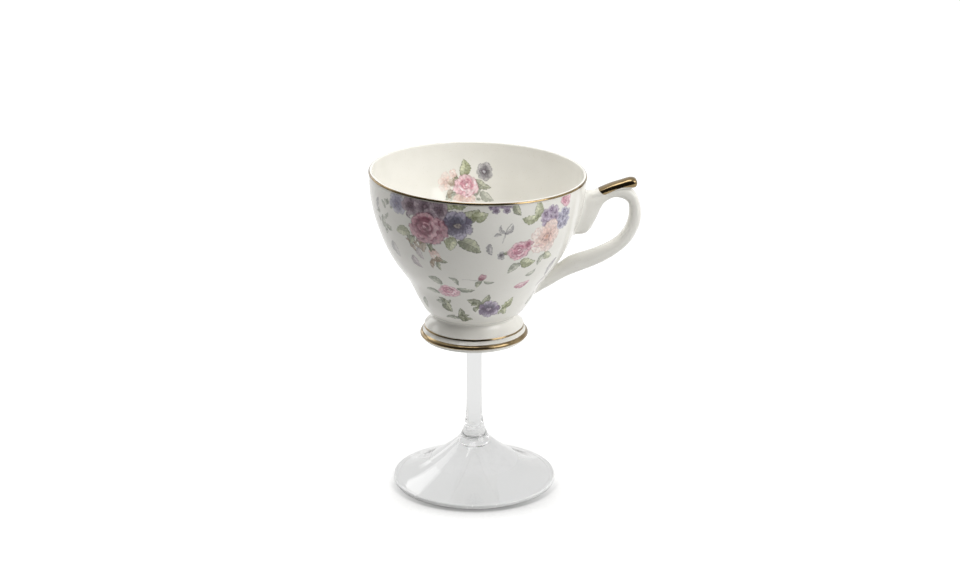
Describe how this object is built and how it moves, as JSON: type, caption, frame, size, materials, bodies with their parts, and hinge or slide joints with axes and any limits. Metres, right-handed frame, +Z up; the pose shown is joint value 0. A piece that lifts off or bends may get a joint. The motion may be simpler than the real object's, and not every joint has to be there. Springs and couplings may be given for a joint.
{
  "type": "dessert coupe",
  "caption": "Handled porcelain cup with gilded lip, thumb rest and foot, bonded on a clear glass stem with a hollow conical foot, for serving desserts.",
  "frame": {"origin": "bottom centre of the bounding box, on the table; the stem's axis stands 13 mm towards -X of it, because the handle reaches out towards +X", "axes": "+Z up along the stem, +X from the stem towards the handle, +Y from the front to the back of the cup"},
  "size_m": [0.1128, 0.09, 0.1386],
  "materials": {
    "porcelain": "glossy white glaze",
    "gilding": "bright fired gold",
    "clear_glass": "clear polished",
    "clear_adhesive": "clear cured bond"
  },
  "bodies": {
    "root": {"cup_bowl": "porcelain", "cup_handle": "porcelain", "cup_foot": "porcelain", "rim_gilding": "gilding", "handle_gilding": "gilding", "foot_line_gilding": "gilding", "foot_edge_gilding": "gilding", "stem_adhesive": "clear_adhesive", "glass_stem": "clear_glass", "glass_foot": "clear_glass"}
  },
  "joints": []
}
